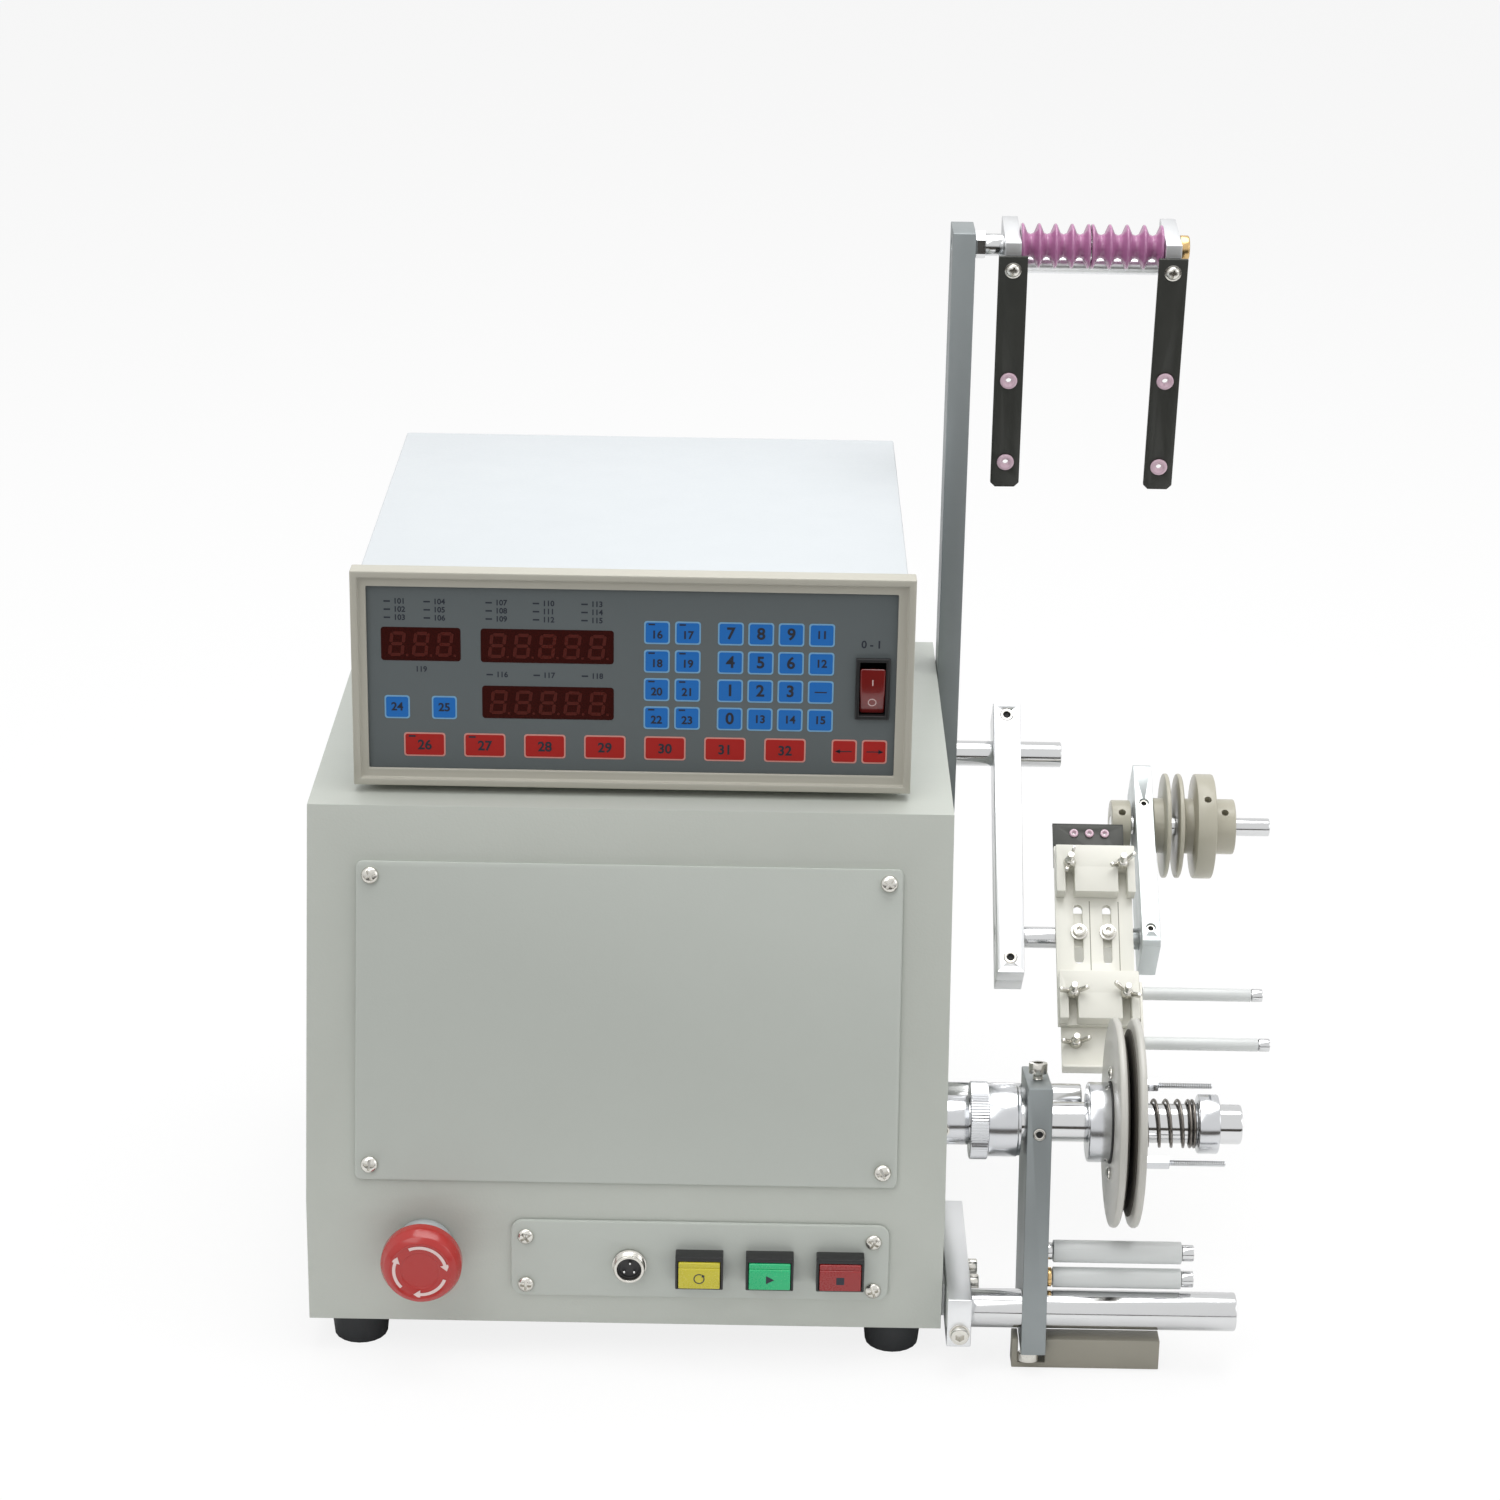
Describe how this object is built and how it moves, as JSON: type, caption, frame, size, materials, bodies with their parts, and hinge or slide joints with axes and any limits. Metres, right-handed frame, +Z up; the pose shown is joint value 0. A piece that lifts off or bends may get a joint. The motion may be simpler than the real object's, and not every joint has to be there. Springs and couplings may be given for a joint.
{
  "type": "wire coil winding machine",
  "caption": "Bench coil winder: sloping cabinet with controller, sprung disc spindle on the right, lead-screw traverse with wire tensioner and guide wheels, and tall roller stand.",
  "frame": {"origin": "under the middle of the whole machine's bounding box, on the table", "axes": "+X towards the spindle's free end, +Y from the front to the back, +Z up"},
  "size_m": [0.507, 0.3568, 0.5273],
  "materials": {
    "painted": "pebble-grained light grey-green paint",
    "cream": "smooth cream paint",
    "bezel_plastic": "fine-grained cream plastic",
    "steel": "ground and polished steel",
    "aluminium": "milled aluminium",
    "dark_aluminium": "dull grey aluminium",
    "blackened": "blackened steel sheet",
    "ceramic": "glazed pink ceramic",
    "ivory": "ivory nylon",
    "white_plastic": "white plastic",
    "black_plastic": "black plastic",
    "panel": "grey-blue printed sheet",
    "board": "green circuit board",
    "red": "glossy red",
    "yellow": "glossy yellow",
    "green": "glossy green",
    "black_rubber": "black rubber"
  },
  "bodies": {
    "cabinet": {"cabinet_shell": "painted", "base_plate": "black_rubber", "back_panel": "painted", "front_cover_plate": "painted", "switch_plate": "painted", "pedal_socket": "steel", "estop_collar": "panel", "controller_case": "painted", "controller_tray": "painted", "controller_bezel": "bezel_plastic", "keypad_panel": "panel", "circuit_board": "board", "rocker_body": "black_plastic", "stand_arm": "dark_aluminium", "stand_axle": "steel", "bearing_boss": "aluminium", "base_bracket": "aluminium", "base_rod": "steel", "rear_rod": "steel", "rest_bar": "cream", "support_arm": "dark_aluminium", "traverse_motor": "black_plastic", "drive_motor": "black_plastic", "drive_belt": "black_rubber"},
    "yellow_button": {"button_cap_yellow": "yellow"},
    "green_button": {"button_cap_green": "green"},
    "red_button": {"button_cap_red": "red"},
    "stop_plunger": {"estop_stem": "white_plastic"},
    "stop_mushroom": {"estop_head": "red"},
    "power_rocker": {"rocker_lever": "red"},
    "wire_yoke": {"roller_yoke": "aluminium", "eyelet_plate_left": "blackened", "eyelet_plate_right": "blackened"},
    "left_roller": {"ceramic_roller_left": "ceramic"},
    "right_roller": {"ceramic_roller_right": "ceramic"},
    "traverse": {"traverse_rod": "steel"},
    "screw": {"lead_screw": "steel"},
    "link": {"link_bar": "aluminium", "cross_rod": "steel"},
    "tensioner": {"tension_plate": "cream", "eyelet_strip": "blackened", "roller_bracket": "cream"},
    "upper_pad": {"clamp_pad_upper": "cream"},
    "lower_pad": {"clamp_pad_lower": "cream"},
    "roller_one": {"guide_roller_1": "white_plastic"},
    "roller_two": {"guide_roller_2": "white_plastic"},
    "guide": {"guide_arm": "aluminium", "pulley_axle": "steel"},
    "inner_wheel": {"guide_wheel_inner": "ivory"},
    "outer_wheel": {"guide_wheel_outer": "ivory"},
    "spindle": {"spindle_shaft": "steel", "spindle_sleeve": "steel", "flange_hub": "steel", "disc_inner": "cream", "spring_collar": "steel", "pressure_spring": "steel"},
    "sprung_disc": {"disc_outer": "cream"},
    "motor_drive": {"motor_pulley": "steel"},
    "roller_three": {"guide_roller_3": "white_plastic"},
    "roller_four": {"guide_roller_4": "white_plastic"}
  },
  "joints": [
    {"name": "yellow_button_press", "type": "slide", "parent": "cabinet", "child": "yellow_button", "axis": [0, 1, 0], "range_m": [0, 0.0025], "stiffness_N_per_m": 300, "springref_m": -0.001},
    {"name": "green_button_press", "type": "slide", "parent": "cabinet", "child": "green_button", "axis": [0, 1, 0], "range_m": [0, 0.0025], "stiffness_N_per_m": 300, "springref_m": -0.001},
    {"name": "red_button_press", "type": "slide", "parent": "cabinet", "child": "red_button", "axis": [0, 1, 0], "range_m": [0, 0.0025], "stiffness_N_per_m": 300, "springref_m": -0.001},
    {"name": "stop_push", "type": "slide", "parent": "cabinet", "child": "stop_plunger", "axis": [0, 1, 0], "range_m": [0, 0.0045]},
    {"name": "stop_twist", "type": "hinge", "parent": "stop_plunger", "child": "stop_mushroom", "pos_m": [-0.1944, -0.1704, 0.0605], "axis": [0, 1, 0], "range_deg": [0, 40], "stiffness_Nm_per_rad": 0.05},
    {"name": "power_rocker_tilt", "type": "hinge", "parent": "cabinet", "child": "power_rocker", "pos_m": [0.0249, -0.0753, 0.3374], "axis": [-1, 0, 0], "range_deg": [0, 18]},
    {"name": "yoke_tilt", "type": "hinge", "parent": "cabinet", "child": "wire_yoke", "pos_m": [0.1425, 0.1216, 0.5155], "axis": [1, 0, 0], "range_deg": [-20, 20]},
    {"name": "left_roller_spin", "type": "hinge", "parent": "cabinet", "child": "left_roller", "pos_m": [0.1225, 0.1216, 0.5155], "axis": [1, 0, 0], "continuous": true},
    {"name": "right_roller_spin", "type": "hinge", "parent": "cabinet", "child": "right_roller", "pos_m": [0.1605, 0.1216, 0.5155], "axis": [1, 0, 0], "continuous": true},
    {"name": "traverse_slide", "type": "slide", "parent": "cabinet", "child": "traverse", "axis": [1, 0, 0], "range_m": [-0.018, 0.08]},
    {"name": "lead_screw_turn", "type": "hinge", "parent": "cabinet", "child": "screw", "pos_m": [-0.0635, 0.1036, 0.2282], "axis": [1, 0, 0], "range_deg": [-3620, 820]},
    {"name": "link_clamp", "type": "hinge", "parent": "traverse", "child": "link", "pos_m": [0.1071, 0.1216, 0.2282], "axis": [1, 0, 0], "range_deg": [-15, 15]},
    {"name": "tensioner_clamp", "type": "hinge", "parent": "link", "child": "tensioner", "pos_m": [0.1525, 0.04328, 0.15124], "axis": [1, 0, 0], "range_deg": [0, 12]},
    {"name": "upper_pad_slide", "type": "slide", "parent": "tensioner", "child": "upper_pad", "axis": [0, -0.6691, 0.7431], "range_m": [0, 0.003]},
    {"name": "lower_pad_slide", "type": "slide", "parent": "tensioner", "child": "lower_pad", "axis": [0, -0.6691, 0.7431], "range_m": [0, 0.003]},
    {"name": "roller_one_spin", "type": "hinge", "parent": "tensioner", "child": "roller_one", "pos_m": [0.2065, 0.00462, 0.1362], "axis": [1, 0, 0], "continuous": true},
    {"name": "roller_two_spin", "type": "hinge", "parent": "tensioner", "child": "roller_two", "pos_m": [0.2065, -0.01457, 0.11596], "axis": [1, 0, 0], "continuous": true},
    {"name": "guide_clamp", "type": "hinge", "parent": "link", "child": "guide", "pos_m": [0.1825, 0.04328, 0.15124], "axis": [1, 0, 0], "range_deg": [-12, 0]},
    {"name": "inner_wheel_spin", "type": "hinge", "parent": "guide", "child": "inner_wheel", "pos_m": [0.1925, 0.10407, 0.1938], "axis": [1, 0, 0], "continuous": true},
    {"name": "outer_wheel_spin", "type": "hinge", "parent": "guide", "child": "outer_wheel", "pos_m": [0.2165, 0.10407, 0.1938], "axis": [1, 0, 0], "continuous": true},
    {"name": "spindle_turn", "type": "hinge", "parent": "cabinet", "child": "spindle", "pos_m": [0.1065, -0.1224, 0.1218], "axis": [1, 0, 0], "continuous": true},
    {"name": "sprung_disc_slide", "type": "slide", "parent": "spindle", "child": "sprung_disc", "axis": [1, 0, 0], "range_m": [0, 0.012], "stiffness_N_per_m": 600, "springref_m": -0.006, "deforming": ["pressure_spring"]},
    {"name": "motor_turn", "type": "hinge", "parent": "cabinet", "child": "motor_drive", "pos_m": [-0.0135, -0.0004, 0.084], "axis": [1, 0, 0], "continuous": true},
    {"name": "roller_three_spin", "type": "hinge", "parent": "cabinet", "child": "roller_three", "pos_m": [0.1565, -0.1411, 0.0584], "axis": [1, 0, 0], "continuous": true},
    {"name": "roller_four_spin", "type": "hinge", "parent": "cabinet", "child": "roller_four", "pos_m": [0.1565, -0.1449, 0.0457], "axis": [1, 0, 0], "continuous": true}
  ],
  "couplings": [
    {"joint": "lead_screw_turn", "follows": "traverse_slide", "rad_per_m": -785.4},
    {"joint": "motor_turn", "follows": "spindle_turn", "ratio": 1}
  ]
}
